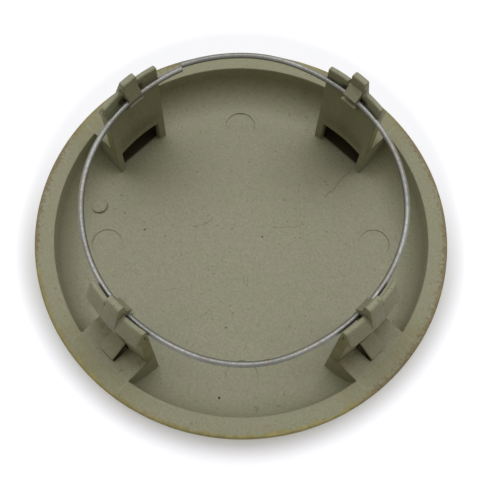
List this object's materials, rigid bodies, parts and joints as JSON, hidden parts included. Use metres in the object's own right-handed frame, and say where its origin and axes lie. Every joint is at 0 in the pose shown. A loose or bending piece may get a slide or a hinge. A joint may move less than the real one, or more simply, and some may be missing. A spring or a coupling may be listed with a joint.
{
  "type": "wheel centre cap",
  "caption": "Round snap-in wheel centre cap lying face down: a shallow dished moulding with a flat rim and clip legs that hold a sprung wire ring.",
  "frame": {"origin": "centre of the front face, which the cap lies on", "axes": "+Z out of the cap's back, along its axis; +X and +Y through two neighbouring clip legs"},
  "size_m": [0.076, 0.076, 0.0298],
  "materials": {
    "moulding": "aged grey-olive moulded plastic with a worn, yellowed outer edge",
    "wire": "dull drawn spring-steel wire"
  },
  "bodies": {
    "root": {"cap_moulding": "moulding", "wire_ring": "wire"}
  },
  "joints": []
}
